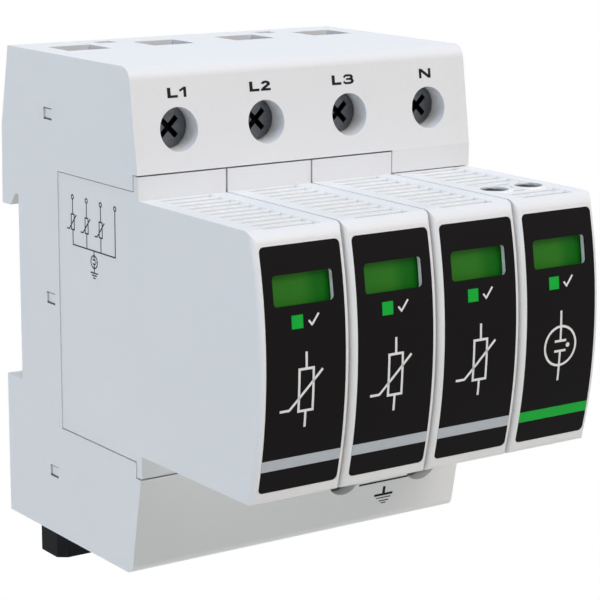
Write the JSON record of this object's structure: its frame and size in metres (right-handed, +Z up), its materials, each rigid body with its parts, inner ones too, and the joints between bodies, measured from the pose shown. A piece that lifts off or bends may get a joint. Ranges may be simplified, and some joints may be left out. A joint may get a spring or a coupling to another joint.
{
  "type": "din rail surge arrester",
  "caption": "Rail-mounted surge arrester: a white base with screw terminals holds plug-in protection modules with black labels and green status windows.",
  "frame": {"origin": "middle of the mounting rail's front face", "axes": "+X along the rail, +Y back through the rail, +Z up; the modules face -Y"},
  "size_m": [0.072, 0.0872, 0.0994],
  "materials": {
    "base_white": "fine moulded grain",
    "module_white": "fine moulded grain",
    "latch_black": "moulded",
    "spring_steel": "drawn wire",
    "screw_steel": "dark zinc plated",
    "cage_steel": "zinc plated",
    "contact_copper": "stamped copper alloy",
    "blade_tin": "tin plated",
    "leaf_bronze": "rolled bronze strip",
    "label_black": "printed film",
    "flag_green": "moulded",
    "carrier_red": "moulded",
    "varistor_blue": "dipped epoxy coat",
    "tube_ceramic": "fired ceramic with metal bands"
  },
  "bodies": {
    "base": {"housing": "base_white", "back_cover": "base_white", "line_contact_l1": "contact_copper", "line_contact_l2": "contact_copper", "line_contact_l3": "contact_copper", "neutral_bar": "contact_copper", "earth_bar": "contact_copper", "latch_spring_left": "spring_steel", "latch_spring_right": "spring_steel"},
    "module_l1": {"module_case_l1": "module_white", "module_lid_l1": "module_white", "module_label_l1": "label_black", "inner_carrier_l1": "carrier_red", "varistor_l1": "varistor_blue", "plug_blades_l1": "blade_tin", "disconnect_leaf_l1": "leaf_bronze"},
    "flag_l1": {"status_flag_l1": "flag_green"},
    "module_l2": {"module_case_l2": "module_white", "module_lid_l2": "module_white", "module_label_l2": "label_black", "inner_carrier_l2": "carrier_red", "varistor_l2": "varistor_blue", "plug_blades_l2": "blade_tin", "disconnect_leaf_l2": "leaf_bronze"},
    "flag_l2": {"status_flag_l2": "flag_green"},
    "module_l3": {"module_case_l3": "module_white", "module_lid_l3": "module_white", "module_label_l3": "label_black", "inner_carrier_l3": "carrier_red", "varistor_l3": "varistor_blue", "plug_blades_l3": "blade_tin", "disconnect_leaf_l3": "leaf_bronze"},
    "flag_l3": {"status_flag_l3": "flag_green"},
    "module_n": {"module_case_n": "module_white", "module_lid_n": "module_white", "module_label_n": "label_black", "inner_carrier_n": "carrier_red", "gas_tube_n": "tube_ceramic", "plug_blades_n": "blade_tin", "disconnect_leaf_n": "leaf_bronze"},
    "flag_n": {"status_flag_n": "flag_green"},
    "latch_left": {"din_latch_left": "latch_black"},
    "latch_right": {"din_latch_right": "latch_black"},
    "screw_l1": {"terminal_screw_l1": "screw_steel"},
    "cage_l1": {"clamp_cage_l1": "cage_steel"},
    "screw_l2": {"terminal_screw_l2": "screw_steel"},
    "cage_l2": {"clamp_cage_l2": "cage_steel"},
    "screw_l3": {"terminal_screw_l3": "screw_steel"},
    "cage_l3": {"clamp_cage_l3": "cage_steel"},
    "screw_n": {"terminal_screw_n": "screw_steel"},
    "cage_n": {"clamp_cage_n": "cage_steel"},
    "screw_e1": {"earth_screw_1": "screw_steel"},
    "cage_e1": {"earth_cage_1": "cage_steel"},
    "screw_e2": {"earth_screw_2": "screw_steel"},
    "cage_e2": {"earth_cage_2": "cage_steel"}
  },
  "joints": [
    {"name": "module_l1_pull", "type": "slide", "parent": "base", "child": "module_l1", "axis": [0, -1, 0], "range_m": [0, 0.045]},
    {"name": "flag_l1_drop", "type": "hinge", "parent": "module_l1", "child": "flag_l1", "pos_m": [-0.027, 0.0072, 0], "axis": [1, 0, 0], "range_deg": [0, 4.5]},
    {"name": "module_l2_pull", "type": "slide", "parent": "base", "child": "module_l2", "axis": [0, -1, 0], "range_m": [0, 0.045]},
    {"name": "flag_l2_drop", "type": "hinge", "parent": "module_l2", "child": "flag_l2", "pos_m": [-0.009, 0.0072, 0], "axis": [1, 0, 0], "range_deg": [0, 4.5]},
    {"name": "module_l3_pull", "type": "slide", "parent": "base", "child": "module_l3", "axis": [0, -1, 0], "range_m": [0, 0.045]},
    {"name": "flag_l3_drop", "type": "hinge", "parent": "module_l3", "child": "flag_l3", "pos_m": [0.009, 0.0072, 0], "axis": [1, 0, 0], "range_deg": [0, 4.5]},
    {"name": "module_n_pull", "type": "slide", "parent": "base", "child": "module_n", "axis": [0, -1, 0], "range_m": [0, 0.045]},
    {"name": "flag_n_drop", "type": "hinge", "parent": "module_n", "child": "flag_n", "pos_m": [0.027, 0.0072, 0], "axis": [1, 0, 0], "range_deg": [0, 4.5]},
    {"name": "latch_left_pull", "type": "slide", "parent": "base", "child": "latch_left", "axis": [0, 0, -1], "range_m": [0, 0.005], "stiffness_N_per_m": 400, "springref_m": -0.004, "deforming": ["latch_spring_left"]},
    {"name": "latch_right_pull", "type": "slide", "parent": "base", "child": "latch_right", "axis": [0, 0, -1], "range_m": [0, 0.005], "stiffness_N_per_m": 400, "springref_m": -0.004, "deforming": ["latch_spring_right"]},
    {"name": "screw_l1_turn", "type": "hinge", "parent": "base", "child": "screw_l1", "pos_m": [-0.027, -0.038, 0.034], "axis": [0, 1, 0], "range_deg": [0, 2522]},
    {"name": "cage_l1_lift", "type": "slide", "parent": "base", "child": "cage_l1", "axis": [0, -1, 0], "range_m": [0, 0.0056]},
    {"name": "screw_l2_turn", "type": "hinge", "parent": "base", "child": "screw_l2", "pos_m": [-0.009, -0.038, 0.034], "axis": [0, 1, 0], "range_deg": [0, 2522]},
    {"name": "cage_l2_lift", "type": "slide", "parent": "base", "child": "cage_l2", "axis": [0, -1, 0], "range_m": [0, 0.0056]},
    {"name": "screw_l3_turn", "type": "hinge", "parent": "base", "child": "screw_l3", "pos_m": [0.009, -0.038, 0.034], "axis": [0, 1, 0], "range_deg": [0, 2522]},
    {"name": "cage_l3_lift", "type": "slide", "parent": "base", "child": "cage_l3", "axis": [0, -1, 0], "range_m": [0, 0.0056]},
    {"name": "screw_n_turn", "type": "hinge", "parent": "base", "child": "screw_n", "pos_m": [0.027, -0.038, 0.034], "axis": [0, 1, 0], "range_deg": [0, 2522]},
    {"name": "cage_n_lift", "type": "slide", "parent": "base", "child": "cage_n", "axis": [0, -1, 0], "range_m": [0, 0.0056]},
    {"name": "screw_e1_turn", "type": "hinge", "parent": "base", "child": "screw_e1", "pos_m": [0.009, -0.038, -0.034], "axis": [0, 1, 0], "range_deg": [0, 2522]},
    {"name": "cage_e1_lift", "type": "slide", "parent": "base", "child": "cage_e1", "axis": [0, -1, 0], "range_m": [0, 0.0056]},
    {"name": "screw_e2_turn", "type": "hinge", "parent": "base", "child": "screw_e2", "pos_m": [0.027, -0.038, -0.034], "axis": [0, 1, 0], "range_deg": [0, 2522]},
    {"name": "cage_e2_lift", "type": "slide", "parent": "base", "child": "cage_e2", "axis": [0, -1, 0], "range_m": [0, 0.0056]}
  ],
  "couplings": [
    {"joint": "screw_l1_turn", "follows": "cage_l1_lift", "rad_per_m": 7854},
    {"joint": "screw_l2_turn", "follows": "cage_l2_lift", "rad_per_m": 7854},
    {"joint": "screw_l3_turn", "follows": "cage_l3_lift", "rad_per_m": 7854},
    {"joint": "screw_n_turn", "follows": "cage_n_lift", "rad_per_m": 7854},
    {"joint": "screw_e1_turn", "follows": "cage_e1_lift", "rad_per_m": 7854},
    {"joint": "screw_e2_turn", "follows": "cage_e2_lift", "rad_per_m": 7854}
  ]
}
